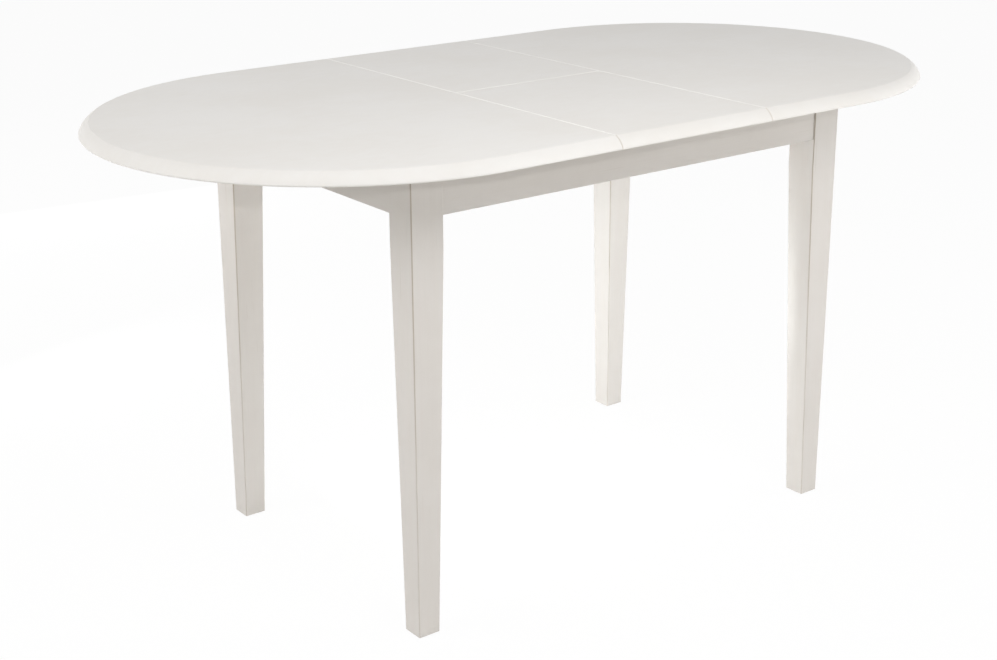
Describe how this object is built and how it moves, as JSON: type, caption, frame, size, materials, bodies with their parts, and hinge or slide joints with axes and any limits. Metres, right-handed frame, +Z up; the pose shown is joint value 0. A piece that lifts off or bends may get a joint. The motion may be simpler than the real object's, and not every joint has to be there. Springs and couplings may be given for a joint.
{
  "type": "butterfly leaf table",
  "caption": "Oval extending dining table with tapered legs; its top parts in the middle for a leaf that folds in half along the table and swings down into the frame.",
  "frame": {"origin": "on the floor under the middle of the open table", "axes": "+X along the table's length, +Y to the back, +Z up"},
  "size_m": [1.4998, 0.8, 0.75],
  "materials": {
    "cream_lacquer": "satin off-white lacquer",
    "bare_hardwood": "planed, unfinished",
    "zinc_plate": "zinc plated",
    "steel_fastener": "zinc plated",
    "hinge_brass": "turned",
    "nylon_glide": "moulded",
    "buffer_rubber": "matt",
    "felt_pad": "pressed felt"
  },
  "bodies": {
    "base": {"apron_back": "cream_lacquer", "apron_front": "cream_lacquer", "apron_left": "cream_lacquer", "apron_right": "cream_lacquer", "arm_pivot_bolts": "steel_fastener", "corner_brace_back_left": "bare_hardwood", "corner_brace_back_right": "bare_hardwood", "corner_brace_front_left": "bare_hardwood", "corner_brace_front_right": "bare_hardwood", "corner_brace_screws": "steel_fastener", "cross_rail_angles": "zinc_plate", "cross_rail_left": "bare_hardwood", "cross_rail_right": "bare_hardwood", "cross_rail_screws": "steel_fastener", "foot_glide_back_left": "nylon_glide", "foot_glide_back_right": "nylon_glide", "foot_glide_front_left": "nylon_glide", "foot_glide_front_right": "nylon_glide", "leaf_rest_pads": "felt_pad", "leg_back_left": "cream_lacquer", "leg_back_right": "cream_lacquer", "leg_bolt_nuts": "steel_fastener", "leg_bolt_washers": "steel_fastener", "leg_front_left": "cream_lacquer", "leg_front_right": "cream_lacquer", "leg_hanger_bolts": "steel_fastener", "slide_buffers": "buffer_rubber", "slide_rail_back": "bare_hardwood", "slide_rail_front": "bare_hardwood", "slide_rail_screws": "steel_fastener"},
    "left_end": {"runner_left_back": "bare_hardwood", "runner_left_front": "bare_hardwood", "runner_screws_left": "steel_fastener", "top_end_left": "cream_lacquer"},
    "right_end": {"runner_right_back": "bare_hardwood", "runner_right_front": "bare_hardwood", "runner_screws_right": "steel_fastener", "top_end_right": "cream_lacquer"},
    "inner_arms": {"inner_arm_left": "zinc_plate", "inner_arm_right": "zinc_plate"},
    "outer_arms": {"outer_arm_left": "zinc_plate", "outer_arm_right": "zinc_plate"},
    "leaf_back": {"fold_hinge_sockets": "hinge_brass", "leaf_back": "cream_lacquer", "leaf_bracket_inner_left": "zinc_plate", "leaf_bracket_inner_right": "zinc_plate", "leaf_bracket_outer_left": "zinc_plate", "leaf_bracket_outer_right": "zinc_plate", "leaf_bracket_pins": "steel_fastener", "leaf_bracket_screws": "steel_fastener"},
    "leaf_front": {"fold_hinge_barrels": "hinge_brass", "leaf_front": "cream_lacquer"}
  },
  "joints": [
    {"name": "left_end_slide", "type": "slide", "parent": "base", "child": "left_end", "axis": [-1, 0, 0], "range_m": [0, 0.03]},
    {"name": "right_end_slide", "type": "slide", "parent": "base", "child": "right_end", "axis": [1, 0, 0], "range_m": [0, 0.03]},
    {"name": "leaf_swing", "type": "hinge", "parent": "base", "child": "inner_arms", "pos_m": [0, -0.01942, 0.67221], "axis": [1, 0, 0], "range_deg": [0, 150]},
    {"name": "outer_arm_swing", "type": "hinge", "parent": "base", "child": "outer_arms", "pos_m": [0, 0.12033, 0.67221], "axis": [1, 0, 0], "range_deg": [0, 150]},
    {"name": "leaf_level", "type": "hinge", "parent": "inner_arms", "child": "leaf_back", "pos_m": [0, 0.07525, 0.719], "axis": [-1, 0, 0], "range_deg": [0, 150]},
    {"name": "leaf_fold", "type": "hinge", "parent": "leaf_back", "child": "leaf_front", "pos_m": [0, 0, 0.7502], "axis": [-1, 0, 0], "range_deg": [0, 180.5]}
  ],
  "couplings": [
    {"joint": "outer_arm_swing", "follows": "leaf_swing", "ratio": 1},
    {"joint": "leaf_level", "follows": "leaf_swing", "ratio": 1},
    {"joint": "leaf_fold", "follows": "leaf_swing", "ratio": 1.2}
  ]
}
